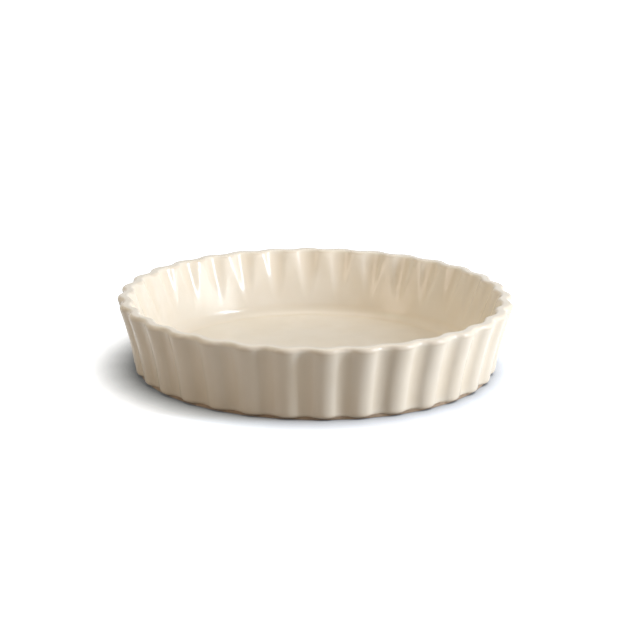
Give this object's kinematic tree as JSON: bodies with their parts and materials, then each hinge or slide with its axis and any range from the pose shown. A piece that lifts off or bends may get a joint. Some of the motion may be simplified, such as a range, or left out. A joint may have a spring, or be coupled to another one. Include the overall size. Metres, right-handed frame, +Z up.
{
  "type": "quiche dish",
  "caption": "Round fluted quiche dish with a rounded rim and a coved flat floor, cream glaze over clay, standing on a bare foot ring.",
  "frame": {"origin": "centre of the dish in the plane that the foot ring rests on", "axes": "+Z up along the dish's axis, with a flute ridge on +X, -X, +Y and -Y"},
  "size_m": [0.2796, 0.2796, 0.0525],
  "materials": {
    "clay": "matt fired clay",
    "glaze": "gloss",
    "glaze_under": "gloss"
  },
  "bodies": {
    "root": {"clay_body": "clay", "glaze_coat": "glaze", "underside_glaze": "glaze_under"}
  },
  "joints": []
}
